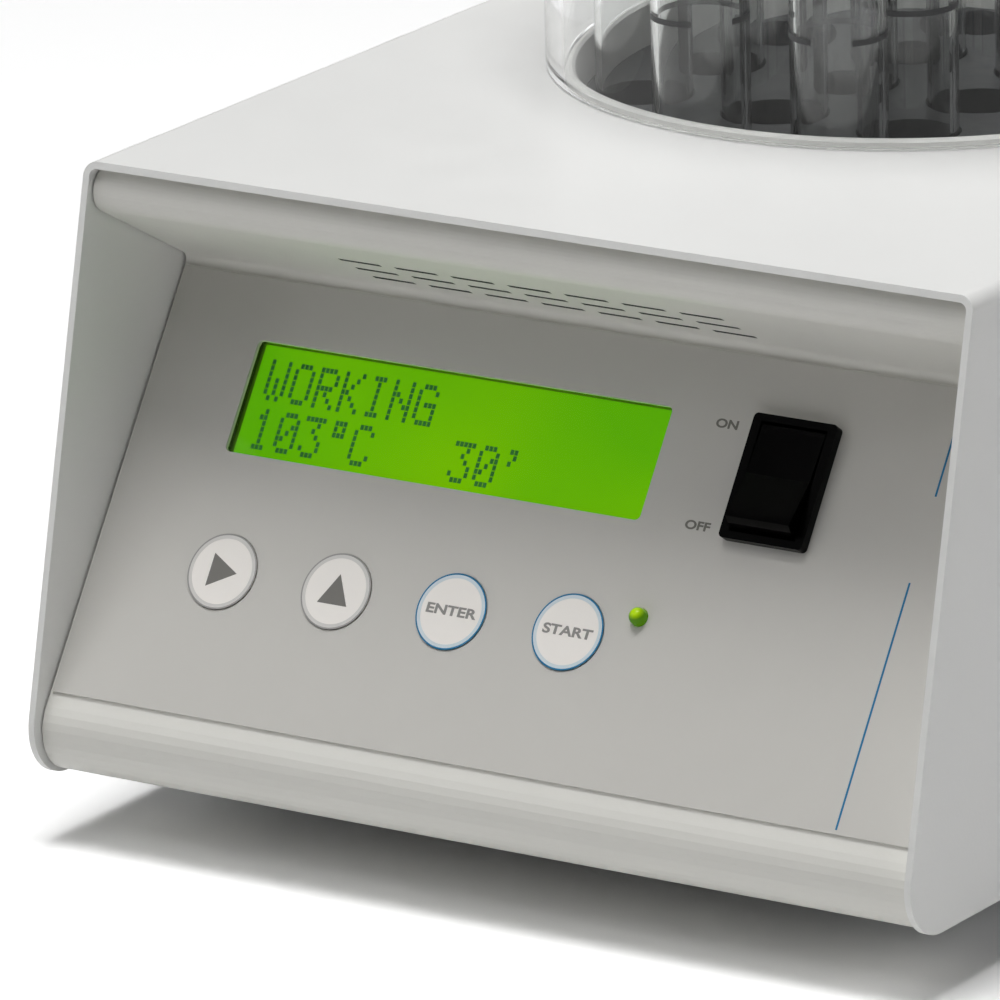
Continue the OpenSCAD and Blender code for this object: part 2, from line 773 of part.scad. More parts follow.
// Laminated core with two windows, and the winding round its middle leg
module transformer() {
    core = transformer_core;
    leg = core[0] / 6;
    window = core[2] - 2 * leg;
    at = [power_board_x[0] + core[0] / 2 + 1, power_board_y[1] - core[1] - 1, power_board_top];
    color("#8a5a30") placed() translate(at) {
        difference() {
            translate([-core[0] / 2, -core[1] / 2, 0]) cube(core);
            for (side = [-1, 1]) translate([side * 1.5 * leg, 0, core[2] / 2])
                cube([leg, core[1] + CUT, window], center = true);
        }
        translate([0, 0, core[2] / 2]) difference() {
            cube([4 * leg - 2 * FIT, 1.8 * core[1], window - 2 * FIT], center = true);
            cube([2 * leg + 2 * FIT, core[1] + 2 * FIT, window + CUT], center = true);
        }
    }
}

// Heat sink of six fins, with the switching element on its flat side
module heat_sink() {
    plate = [20, 2.5, 30];
    fin = [1.4, 9];
    fins = 6;
    element = [10, 3, 15];
    color("#303235") placed() translate([power_board_x[1] - 11, power_board_y[0] + 8, power_board_top]) {
        translate([-plate[0] / 2, 0, 0]) cube(plate);
        for (i = [0 : fins - 1]) {
            translate([(plate[0] - fin[0]) * (i / (fins - 1) - 0.5) - fin[0] / 2, plate[1], 0])
                cube([fin[0], fin[1], plate[2]]);
        }
        translate([-element[0] / 2, -element[1], 12]) cube(element);
    }
}

module terminal_block() {
    pole = [6, 12, 14];
    poles = 6;
    screw_well = [2, 5];
    color("#2f7d4f") placed() translate([power_board_x[1] + 3, rear_y - 42, floor_top]) difference() {
        cube([poles * pole[0], pole[1], pole[2]]);
        for (i = [0 : poles - 1]) {
            translate([(i + 0.5) * pole[0], pole[1] / 2, pole[2] - screw_well[1]])
                cylinder(r = screw_well[0], h = screw_well[1] + CUT);
        }
    }
}

module mains_inlet() {
    color("#171718") placed() difference() {
        translate([inlet_x, rear_y, inlet_z]) inlet_moulding();
        inlet_screw_places() cylinder(r = inlet_screw_r + SEAT, h = DRILL, center = true);
    }
}

// Socket with three pins over the slot for the fuse drawer, y = 0 at the rear panel
module inlet_moulding() {
    pin = [2, 13, 4];
    pin_places = [[-7, -1.5], [0, 2], [7, -1.5]];
    front = inlet_flange[1];
    difference() {
        union() {
            translate([0, front / 2, 0]) cube(inlet_flange, center = true);
            translate([0, -inlet_body[1] / 2, 0]) cube(inlet_body, center = true);
        }
        along_y(front - socket_depth, front + CUT) translate([0, socket_z]) socket_outline();
        along_y(front - drawer_depth, front + CUT)
            translate([0, drawer_z]) square(drawer_hole, center = true);
    }
    for (p = pin_places) {
        translate([p[0], front - socket_depth + pin[1] / 2 - 1, socket_z + p[1]]) cube(pin, center = true);
    }
}

// The socket's opening, with its two upper corners cut off
module socket_outline() {
    w = socket_size[0] / 2;
    h = socket_size[1] / 2;
    corner = 5;
    polygon([[-w, -h], [w, -h], [w, h - corner], [w - corner, h], [corner - w, h], [-w, h - corner]]);
}

// Drawer with a grip groove outside and room for the fuse inside
module fuse_drawer() {
    w = drawer_hole[0] - 2 * FIT;
    h = drawer_hole[1] - 2 * FIT;
    d = drawer_depth - 1;
    front = 0.6;
    wall = 1.2;
    fuse_room = 5.4;
    mouth = [inlet_x, rear_y + inlet_flange[1], inlet_z + drawer_z];
    color("#202022") placed() translate(mouth) difference() {
        translate([-w / 2, -d, -h / 2]) cube([w, d + front, h]);
        translate([0, front + 0.1, h / 2]) rotate([0, 90, 0]) cylinder(r = wall, h = DRILL, center = true);
        translate([wall - w / 2, -d + 2, 0.2]) cube([w - 2 * wall, fuse_room, h]);
    }
}

function tube_well(i) = TUBE_WELLS[i - 1];

module tube(i) {
    inner = tube_r - tube_wall;
    color("#e8f0f0", 0.35) placed() at_wells([tube_well(i)]) translate([0, 0, tube_z]) difference() {
        union() {
            translate([0, 0, tube_r]) cylinder(r = tube_r, h = tube_len - tube_r);
            translate([0, 0, tube_r]) sphere(tube_r);
        }
        translate([0, 0, tube_r]) cylinder(r = inner, h = tube_len);
        translate([0, 0, tube_r]) sphere(inner);
    }
}

module tube_cap(i) {
    skirt_z = tube_z + tube_len - cap_skirt;
    color("#26272a") placed() at_wells([tube_well(i)]) rotate_extrude() polygon([
        [tube_r + SEAT, skirt_z], [cap_r, skirt_z], [cap_r, skirt_z + cap_h - 1],
        [cap_r - 1, skirt_z + cap_h], [0, skirt_z + cap_h], [0, tube_z + tube_len + SEAT],
        [tube_r + SEAT, tube_z + tube_len + SEAT]]);
}

cover();
front_panel();
front_foil();
base_plate();
rear_panel();
feet();
foot_screws();
case_screws();
display_window();
display_glass();
display_board();
control_board();
board_spacers();
indicator_lamp();
switch_body();
switch_rocker();
collar();
guard();
heating_block();
block_heater();
heater_clamp();
clamp_screws();
temperature_probe();
overheat_cutout();
insulation_jacket();
block_pillars();
power_board();
transformer();
heat_sink();
terminal_block();
mains_inlet();
fuse_drawer();
for (i = [1 : KEYS]) key(i);
for (i = [1 : TUBES]) tube(i);
for (i = [1 : TUBES]) tube_cap(i);
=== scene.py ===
"""Bench heater for test tubes: finishes, printed and moulded detail, liquid, lights and camera.

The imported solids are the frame, in metres: the origin lies on the bench under the middle of the case, the
front looks towards -Y and +Z is up. Fields give the sizes of small detail in millimetres, and those of
finishes, camera, floor and lamps in metres.
"""

import logging
import math
from dataclasses import dataclass, field
from enum import Enum
from typing import ClassVar

import bmesh
import bpy
from mathutils import Matrix, Vector


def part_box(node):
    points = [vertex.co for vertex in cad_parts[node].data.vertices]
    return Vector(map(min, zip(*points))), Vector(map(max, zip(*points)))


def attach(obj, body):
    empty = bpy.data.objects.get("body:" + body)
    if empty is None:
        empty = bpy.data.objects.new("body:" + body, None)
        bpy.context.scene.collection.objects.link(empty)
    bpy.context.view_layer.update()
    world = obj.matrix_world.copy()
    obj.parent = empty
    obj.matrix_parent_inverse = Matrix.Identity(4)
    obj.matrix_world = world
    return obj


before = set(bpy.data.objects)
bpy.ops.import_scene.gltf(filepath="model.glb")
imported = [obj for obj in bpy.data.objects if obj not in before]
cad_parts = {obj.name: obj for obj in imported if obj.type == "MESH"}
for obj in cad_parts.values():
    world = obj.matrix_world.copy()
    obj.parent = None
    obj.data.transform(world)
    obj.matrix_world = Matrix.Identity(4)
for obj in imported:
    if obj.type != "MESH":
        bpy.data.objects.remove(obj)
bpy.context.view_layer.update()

LOG = logging.getLogger("thermoreactor")
MM = 0.001
CASE = "case"

Material = bpy.types.Material
Mesh = bpy.types.Mesh
Node = bpy.types.Node
Socket = bpy.types.NodeSocket
WorkMesh = bmesh.types.BMesh
Colour = tuple[float, float, float]
Triple = tuple[float, float, float]
Point = tuple[float, float]
Head = tuple[Vector, Vector, float]


def shade(red: int, green: int, blue: int) -> Colour:
    """Turns a screen colour into a linear one.

    Args:
        red: its red, from 0 to 255.
        green: its green.
        blue: its blue.

    Returns:
        The colour that shaders work with, from 0 to 1.
    """
    knee, slope, lift, power = 10, 12.92, 0.055, 2.4
    return tuple(((c / 255 + lift) / (1 + lift)) ** power if c > knee else c / 255 / slope
                 for c in (red, green, blue))


class Grain(Enum):
    """The kind of fine surface texture a finish has."""

    SMOOTH = "smooth"
    ORANGE_PEEL = "orange peel"
    MATTE_FILM = "matte film"
    BRUSHED = "brushed"
    CAST = "cast"
    FIBRE = "fibre"


@dataclass(frozen=True)
class GrainSize:
    """How fine and how deep a grain is."""

    cells_per_metre: float
    height: float
    strength: float
    stretch: Triple = (1, 1, 1)
    detail: float = 2.0


GRAINS: dict[Grain, GrainSize] = {
    Grain.SMOOTH: GrainSize(300, 0.00002, 0.10),
    Grain.ORANGE_PEEL: GrainSize(1400, 0.00006, 0.22),
    Grain.MATTE_FILM: GrainSize(4200, 0.00002, 0.20),
    Grain.BRUSHED: GrainSize(900, 0.00003, 0.35, (1, 14, 1)),
    Grain.CAST: GrainSize(700, 0.00015, 0.40),
    Grain.FIBRE: GrainSize(500, 0.0012, 0.80),
}


class Tree:
    """Node tree of a material or of the surroundings, with a short way to add and join nodes."""

    def __init__(self, owner: Material | bpy.types.World) -> None:
        """Opens the node tree and finds its surface shader, which only a material has.

        Args:
            owner: what the nodes belong to.
        """
        owner.use_nodes = True
        self.owner = owner
        self.nodes = owner.node_tree.nodes
        self.links = owner.node_tree.links
        self.surface = self.nodes.get("Principled BSDF")

    def add(self, kind: str, **inputs: object) -> Node:
        """Adds a node and sets its inputs.

        Args:
            kind: Blender's name for the node's type.
            inputs: values, or output sockets to join, by input name with spaces as underscores.

        Returns:
            The new node.
        """
        node = self.nodes.new(kind)
        for key, value in inputs.items():
            self.set(node, key.replace("_", " "), value)
        return node

    def set(self, node: Node, socket: str | int, value: object) -> None:
        """Sets an input to a value, or joins it to an output.

        Args:
            node: the node that has the input.
            socket: the input's name or number.
            value: the value, or the output socket to join.
        """
        if isinstance(value, Socket):
            self.links.new(value, node.inputs[socket])
        else:
            node.inputs[socket].default_value = value

    def here(self) -> Socket:
        """Object coordinates, which are metres in the frame."""
        return self.nodes.new("ShaderNodeTexCoord").outputs["Object"]

    def noise(self, cells_per_metre: float, detail: float, stretch: Triple = (1, 1, 1)) -> Socket:
        """Adds a fine random pattern.

        Args:
            cells_per_metre: how fine it is.
            detail: how many finer layers it has.
            stretch: how much finer it is along each axis.

        Returns:
            The pattern, from 0 to 1.
        """
        place = self.add("ShaderNodeMapping", Vector=self.here(), Scale=stretch)
        node = self.add("ShaderNodeTexNoise", Vector=place.outputs["Vector"], Scale=cells_per_metre,
                        Detail=detail)
        return node.outputs["Fac"]

    def ramp(self, factor: Socket, low: float, high: float, out_low: float, out_high: float) -> Socket:
        """Maps a range of a factor to another range.

        Args:
            factor: what is mapped.
            low: where its range starts.
            high: where its range ends.
            out_low: the result at the start.
            out_high: the result at the end.

        Returns:
            The result, which stays between the two.
        """
        node = self.add("ShaderNodeMapRange", Value=factor, From_Min=low, From_Max=high, To_Min=out_low,
                        To_Max=out_high)
        return node.outputs["Result"]

    def blend(self, factor: Socket, first: Colour, second: Colour) -> Socket:
        """Blends two colours.

        Args:
            factor: how much of the second shows.
            first: the colour at 0.
            second: the colour at 1.

        Returns:
            The blended colour.
        """
        node = self.nodes.new("ShaderNodeMix")
        node.data_type = "RGBA"
        for socket, colour in zip([s for s in node.inputs if s.type == "RGBA"], (first, second)):
            socket.default_value = (*colour, 1)
        self.links.new(factor, node.inputs[0])
        return next(s for s in node.outputs if s.type == "RGBA")

    def vector(self, operation: str, first: object, second: object = (0, 0, 0),
               output: str = "Vector") -> Socket:
        """Adds a step of vector arithmetic.

        Args:
            operation: Blender's name for the step.
            first: its first vector, or an output socket.
            second: its second vector, or an output socket.
            output: which of the node's outputs is wanted.

        Returns:
            That output.
        """
        node = self.nodes.new("ShaderNodeVectorMath")
        node.operation = operation
        self.set(node, 0, first)
        self.set(node, 1, second)
        return node.outputs[output]

    def choose(self, factor: Socket, first: Node, second: Node) -> Node:
        """Shows one shader or another.

        Args:
            factor: how much of the second shows.
            first: the shader at 0.
            second: the shader at 1.

        Returns:
            The node of the mixed shader.
        """
        node = self.nodes.new("ShaderNodeMixShader")
        for number, value in enumerate((factor, first.outputs[0], second.outputs[0])):
            self.set(node, number, value)
        return node

    def bump(self, grain: Grain) -> None:
        """Gives the surface its fine relief.

        Args:
            grain: the kind of relief.
        """
        size = GRAINS[grain]
        height = self.noise(size.cells_per_metre, size.detail, size.stretch)
        relief = self.add("ShaderNodeBump", Height=height, Strength=size.strength, Distance=size.height)
        self.set(self.surface, "Normal", relief.outputs["Normal"])


@dataclass(frozen=True)
class Finish:
    """A surface finish: colour with slight unevenness, gloss and grain.

    Subclasses change or add what their substance needs.
    """

    TINT_DETAIL: ClassVar[float] = 4.0
    GLOSS_DETAIL: ClassVar[float] = 3.0
    GLOSS_FINER: ClassVar[float] = 3.0
    GLOSS_RANGE: ClassVar[Point] = (0.3, 0.7)
    GLOSS_DRIFT: ClassVar[float] = 0.08

    name: str
    colour: Colour
    roughness: float = 0.5
    metallic: float = 0.0
    specular: float = 0.5
    coat: float = 0.0
    uneven: float = 0.04
    patch: float = 40.0
    grain: Grain | None = Grain.SMOOTH

    def make(self) -> Material:
        """Makes the material.

        Returns:
            The material, which has the finish's name.
        """
        tree = Tree(bpy.data.materials.new(self.name))
        darker = tuple(c * (1 - self.uneven) for c in self.colour)
        lighter = tuple(min(1, c * (1 + self.uneven)) for c in self.colour)
        tint = tree.blend(tree.noise(self.patch, self.TINT_DETAIL), darker, lighter)
        for socket, value in {"Base Color": tint, "Roughness": self.gloss(tree), "Metallic": self.metallic,
                              "Specular IOR Level": self.specular, "Coat Weight": self.coat}.items():
            tree.set(tree.surface, socket, value)
        if self.grain:
            tree.bump(self.grain)
        self.finish_off(tree)
        return tree.owner

    def gloss(self, tree: Tree) -> Socket:
        """Makes the roughness, which drifts a little over the surface.

        Args:
            tree: the material's nodes.

        Returns:
            The roughness.
        """
        pattern = tree.noise(self.patch * self.GLOSS_FINER, self.GLOSS_DETAIL)
        return tree.ramp(pattern, *self.GLOSS_RANGE, self.roughness * (1 - self.GLOSS_DRIFT),
                         min(1, self.roughness * (1 + self.GLOSS_DRIFT)))

    def finish_off(self, tree: Tree) -> None:
        """Adds what a plain finish lacks; a plain one adds nothing."""


@dataclass(frozen=True)
class Clear(Finish):
    """Glass, clear plastic or liquid that light passes through, with faint smears."""

    SMEAR_CELLS: ClassVar[float] = 60.0
    SMEAR_DETAIL: ClassVar[float] = 5.0
    SMEAR_STRETCH: ClassVar[Triple] = (1, 1, 0.25)
    SMEAR_RANGE: ClassVar[Point] = (0.45, 0.75)

    grain: Grain | None = None
    ior: float = 1.49
    smear: float = 0.03

    def gloss(self, tree: Tree) -> Socket:
        """Makes the roughness, which is higher in a few smears.

        Args:
            tree: the material's nodes.

        Returns:
            The roughness.
        """
        pattern = tree.noise(self.SMEAR_CELLS, self.SMEAR_DETAIL, self.SMEAR_STRETCH)
        return tree.ramp(pattern, *self.SMEAR_RANGE, self.roughness, self.roughness + self.smear)

    def finish_off(self, tree: Tree) -> None:
        """Lets light through."""
        tree.set(tree.surface, "Transmission Weight", 1.0)
        tree.set(tree.surface, "IOR", self.ior)


@dataclass(frozen=True)
class Lit(Finish):
    """A surface that glows in two colours."""

    GLOW_CELLS: ClassVar[float] = 18.0
    GLOW_DETAIL: ClassVar[float] = 1.0
    GLOW_RANGE: ClassVar[Point] = (0.35, 0.65)

    glow: Colour = (0, 0, 0)
    glow_far: Colour = (0, 0, 0)
    strength: float = 1.0

    def finish_off(self, tree: Tree) -> None:
        """Adds the glow."""
        tree.set(tree.surface, "Emission Color", tree.blend(self.spread(tree), self.glow, self.glow_far))
        tree.set(tree.surface, "Emission Strength", self.strength)

    def spread(self, tree: Tree) -> Socket:
        """Makes the soft unevenness of the glow.

        Args:
            tree: the material's nodes.

        Returns:
            How much of the far colour shows.
        """
        pattern = tree.noise(self.GLOW_CELLS, self.GLOW_DETAIL)
        return tree.ramp(pattern, *self.GLOW_RANGE, 0, 1)


@dataclass(frozen=True)
class Dome(Lit):
    """A lamp's dome, brightest over its axis, which stands out of the leaning panel."""

    CORE: ClassVar[float] = 0.35

    radius: float = 1.5 * MM

    def spread(self, tree: Tree) -> Socket:
        """Fades the glow with the distance from the dome's axis.

        Args:
            tree: the material's nodes.

        Returns:
            How much of the far colour shows.
        """
        low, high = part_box("indicator_lamp")
        axis = Panel().place().to_3x3() @ Vector((0, 0, 1))
        tip = Vector(((low.x + high.x) / 2, low.y, high.z)) - axis * self.radius
        across = tree.vector("CROSS_PRODUCT", tree.vector("SUBTRACT", tree.here(), tip), axis)
        distance = tree.vector("LENGTH", across, output="Value")
        return tree.ramp(distance, self.radius * self.CORE, self.radius, 0, 1)


@dataclass(frozen=True)
class Finishes:
    """Every finish of the heater."""

    cover: Finish = Finish("powder_coat_cover", shade(238, 238, 236), 0.42, uneven=0.01,
                           grain=Grain.ORANGE_PEEL)
    front: Finish = Finish("powder_coat_front", shade(230, 229, 223), 0.38, uneven=0.01,
                           grain=Grain.ORANGE_PEEL)
    rear: Finish = Finish("powder_coat_rear", shade(218, 218, 212), 0.42, uneven=0.01,
                          grain=Grain.ORANGE_PEEL)
    base: Finish = Finish("zinc_plate_base", shade(176, 178, 178), 0.42, 0.8, uneven=0.06, grain=Grain.CAST)
    foil: Finish = Finish("silver_grey_film", shade(206, 204, 199), 0.50, specular=0.4, uneven=0.015,
                          patch=120, grain=Grain.MATTE_FILM)
    rubber: Finish = Finish("foot_rubber", shade(38, 38, 40), 0.78, uneven=0.10, grain=Grain.CAST)
    steel: Finish = Finish("plated_steel", shade(190, 192, 194), 0.28, 1.0, uneven=0.05, grain=Grain.BRUSHED)
    # Dark plate in each screw's cross: painted shade standing in for the shade in the recess.
    cross_shade: Finish = Finish("screw_cross_painted_shade", shade(52, 52, 54), 0.6, uneven=0.10)
    # Dark film in the soffit's slots: painted shade, darker than the coat's own colour.
    slot_wall_shade: Finish = Finish("slot_painted_shade", shade(92, 92, 90), 0.6, specular=0.2, uneven=0.10)
    key: Finish = Finish("key_off_white", shade(250, 246, 241), 0.40, uneven=0.01)
    black_gloss: Finish = Finish("rocker_black", shade(2, 2, 2), 0.14, specular=0.06, uneven=0.10)
    black: Finish = Finish("moulded_black", shade(16, 16, 17), 0.48, specular=0.3, uneven=0.10)
    bezel: Finish = Finish("bezel_black", shade(2, 2, 2), 0.18, specular=0.07, uneven=0.10)
    collar: Finish = Finish("collar_white", shade(226, 226, 222), 0.40, uneven=0.02)
    guard: Finish = Clear("guard_clear", (0.985, 0.99, 0.99), 0.0, uneven=0.0, ior=1.30)
    glass: Finish = Clear("tube_glass", (0.93, 0.94, 0.935), 0.0, uneven=0.0, ior=1.47, smear=0.01)
    # Dark ring on each tube: painted shade that stands in for the dark line of a liquid's meniscus.
    meniscus_shade: Finish = Finish("meniscus_shade", shade(40, 40, 42), 0.50, specular=0.3)
    liquid: Finish = Clear("sample_liquid", (0.97, 0.98, 0.97), 0.0, uneven=0.0, ior=1.34, smear=0.0)
    window: Finish = Clear("display_window_clear", (0.96, 1.0, 0.80), 0.0, uneven=0.0, ior=1.12, smear=0.01)
    cap: Finish = Finish("cap_black", shade(30, 31, 33), 0.42, uneven=0.06)
    block: Finish = Finish("block_dark", shade(52, 53, 54), 0.50, specular=0.2, uneven=0.22, patch=90,
                           grain=Grain.CAST)
    display: Finish = Lit("display_backlit", shade(60, 104, 0), 0.60, specular=0.0,
                          glow=shade(120, 186, 0), glow_far=shade(84, 166, 4), strength=0.75)
    # Strips of painted shade where the window's edge shades the picture, darkest at the rim.
    display_shade_soft: Finish = Finish("display_shade_soft", shade(62, 102, 8), 0.60, specular=0.1)
    display_shade_dark: Finish = Finish("display_shade_dark", shade(36, 52, 10), 0.60, specular=0.1)
    ink: Finish = Finish("display_dots", shade(44, 108, 56), 0.60, specular=0.1)
    lamp: Finish = Dome("lamp_green", shade(44, 76, 4), 0.18, specular=0.2, glow=shade(166, 200, 14),
                        glow_far=shade(58, 98, 0), radius=1.35 * MM)
    print_arrow: Finish = Finish("print_arrow_grey", shade(124, 122, 118), 0.50, specular=0.3)
    print_word: Finish = Finish("print_word_grey", shade(148, 146, 143), 0.50, specular=0.3)
    print_switch: Finish = Finish("print_switch_grey", shade(118, 117, 110), 0.50, specular=0.3)
    print_ring: Finish = Finish("print_mid_grey", shade(160, 159, 157), 0.50, specular=0.3)
    print_pale: Finish = Finish("print_pale_grey", shade(218, 216, 213), 0.42, specular=0.4)
    print_blue: Finish = Finish("print_blue", shade(24, 118, 164), 0.45, specular=0.3)
    print_sky: Finish = Finish("print_light_blue", shade(214, 226, 232), 0.42, specular=0.4)
    board: Finish = Finish("board_green", shade(32, 92, 52), 0.35, coat=0.3, uneven=0.12, patch=300)
    nylon: Finish = Finish("natural_nylon", shade(222, 220, 210), 0.5)
    mica: Finish = Finish("mica_laminate", shade(160, 116, 70), 0.5, uneven=0.2, patch=200, grain=Grain.CAST)
    ceramic: Finish = Finish("pillar_ceramic", shade(228, 224, 214), 0.6, grain=Grain.CAST)
    fibre: Finish = Finish("fibre_blanket", shade(218, 212, 196), 0.9, uneven=0.1, patch=200,
                           grain=Grain.FIBRE)
    winding: Finish = Finish("varnished_winding", shade(140, 84, 40), 0.35, 0.3, uneven=0.2, patch=600,
                             grain=Grain.BRUSHED)
    sink: Finish = Finish("anodised_black", shade(40, 42, 45), 0.40, 0.5, grain=Grain.BRUSHED)
    terminal: Finish = Finish("terminal_green", shade(46, 125, 79), 0.45)
    brass: Finish = Finish("contact_brass", shade(205, 170, 90), 0.30, 1.0, grain=Grain.BRUSHED)


class Workshop:
    """Makes materials, and dresses nodes and new pieces."""

    def __init__(self) -> None:
        """Starts with no materials made."""
        self.finishes = Finishes()
        self.made: dict[str, Material] = {}

    def material(self, finish: Finish) -> Material:
        """Finds the material of a finish.

        Args:
            finish: the finish.

        Returns:
            Its material, made once.
        """
        if finish.name not in self.made:
            self.made[finish.name] = finish.make()
        return self.made[finish.name]

    def dress(self, coats: dict[str, Finish]) -> None:
        """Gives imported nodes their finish.

        Args:
            coats: the finish of each, by its name.
        """
        for node, finish in coats.items():
            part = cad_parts[node]
            part.data.materials.clear()
            part.data.materials.append(self.material(finish))
            LOG.info("%s dressed in %s", node, finish.name)

    def add(self, name: str, mesh: Mesh, finish: Finish, body: str = CASE,
            slot: str | None = None) -> None:
        """Adds a piece of the heater.

        Args:
            name: the piece's name.
            mesh: its mesh, in the frame's place.
            finish: what it is finished in.
            body: the body it moves with.
            slot: the record's material slot it is nearest to; not used.
        """
        piece = bpy.data.objects.new(name, mesh)
        bpy.context.scene.collection.objects.link(piece)
        mesh.materials.clear()
        mesh.materials.append(self.material(finish))
        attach(piece, body)
        LOG.info("%s made, on %s", name, body)


def mesh_of(name: str, build: WorkMesh, smooth: bool = False) -> Mesh:
    """Turns a work mesh into a finished one with its faces turned outwards.

    Args:
        name: the mesh's name.
        build: the work mesh, which is used up.
        smooth: whether its faces are shaded as one curved surface.

    Returns:
        The mesh.
    """
    bmesh.ops.recalc_face_normals(build, faces=build.faces)
    mesh = bpy.data.meshes.new(name)
    build.to_mesh(mesh)
    build.free()
    for face in mesh.polygons:
        face.use_smooth = smooth
    return mesh


def plate(build: WorkMesh, outline: list[Point], low: float, high: float, place: Matrix) -> None:
    """Adds a flat plate to a work mesh.

    Args:
        build: the work mesh.
        outline: the corners in the plate's own plane.
        low: height of its back face.
        high: height of its front face.
        place: where the plane lies.
    """
    back = [build.verts.new(place @ Vector((x, y, low))) for x, y in outline]
    front = [build.verts.new(place @ Vector((x, y, high))) for x, y in outline]
    build.faces.new(back[::-1])
    build.faces.new(front)
    count = len(outline)
    for i in range(count):
        j = (i + 1) % count
        build.faces.new((back[i], back[j], front[j], front[i]))


def spin(build: WorkMesh, profile: list[Point], place: Matrix, steps: int, closed: bool = False) -> None:
    """Adds a turned shape to a work mesh.

    Args:
        build: the work mesh.
        profile: points as (radius, height). Ends on the axis are closed there.
        place: where the axis stands.
        steps: how many faces go round.
        closed: whether the profile's last point joins its first.
    """
    on_axis = 1e-9
    angles = [2 * math.pi * i / steps for i in range(steps)]
    rings: list[list[bmesh.types.BMVert]] = []
    for radius, height in profile:
        around = angles if radius > on_axis else [0.0]
        rings.append([build.verts.new(place @ Vector((radius * math.cos(a), radius * math.sin(a), height)))
                      for a in around])
    pairs = list(zip(rings, rings[1:]))
    if closed:
        pairs.append((rings[-1], rings[0]))
    for low, high in pairs:
        for i in range(steps):
            j = (i + 1) % steps
            corners = [low[i % len(low)], low[j % len(low)], high[j % len(high)], high[i % len(high)]]
            unique = list(dict.fromkeys(corners))
            if len(unique) > 2:
                build.faces.new(unique)


def oblong(width: float, height: float, x: float = 0.0, y: float = 0.0) -> list[Point]:
    """Gives the corners of a rectangle.

    Args:
        width: its width.
        height: its height.
        x: where its middle lies sideways.
        y: where its middle lies upwards.

    Returns:
        The corners in order.
    """
    across, up = width / 2, height / 2
    return [(x - across, y - up), (x + across, y - up), (x + across, y + up), (x - across, y + up)]


@dataclass
class Panel:
    """The leaning face: x runs sideways, y up the slope from the foil's lower edge, z out of the steel."""

    tilt: float = math.radians(34.1)
    foil_t: float = 0.4

    def place(self, x: float = 0.0, up: float = 0.0, out: float = 0.0) -> Matrix:
        """Finds a place on the face, in millimetres.

        Args:
            x: how far it lies sideways.
            up: how far it lies up the slope.
            out: how far it lies over the steel.

        Returns:
            The matrix that puts a thing there.
        """
        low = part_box("front_foil")[0]
        base_y = low.y + self.foil_t * MM * math.cos(self.tilt)
        corner = Matrix.Translation((0, base_y, low.z)) @ Matrix.Rotation(math.pi / 2 - self.tilt, 4, "X")
        return corner @ Matrix.Translation((x * MM, up * MM, out * MM))


@dataclass
class Lettering:
    """Printed words, cut from Blender's own plain letters."""

    weight: float
    widen: float
    film: float = 0.03
    capital_share: float = 0.73
    curve_steps: int = 6

    def mesh(self, name: str, words: str, height: float, place: Matrix) -> Mesh:
        """Makes printed words.

        Args:
            name: the mesh's name.
            words: what is printed.
            height: height of a capital, in millimetres.
            place: where the middle of the words lies.

        Returns:
            The mesh, in the frame's place.
        """
        curve = bpy.data.curves.new(name, "FONT")
        curve.body = words
        curve.align_x, curve.align_y = "CENTER", "CENTER"
        curve.size = height / self.capital_share
        curve.offset = self.weight
        curve.extrude = self.film / 2
        curve.resolution_u = self.curve_steps
        writer = bpy.data.objects.new(name, curve)
        bpy.context.scene.collection.objects.link(writer)
        bpy.context.view_layer.update()
        mesh = bpy.data.meshes.new_from_object(writer)
        bpy.data.objects.remove(writer)
        bpy.data.curves.remove(curve)
        mesh.transform(place @ Matrix.Diagonal((self.widen * MM, MM, MM, 1)))
        mesh.name = name
        return mesh


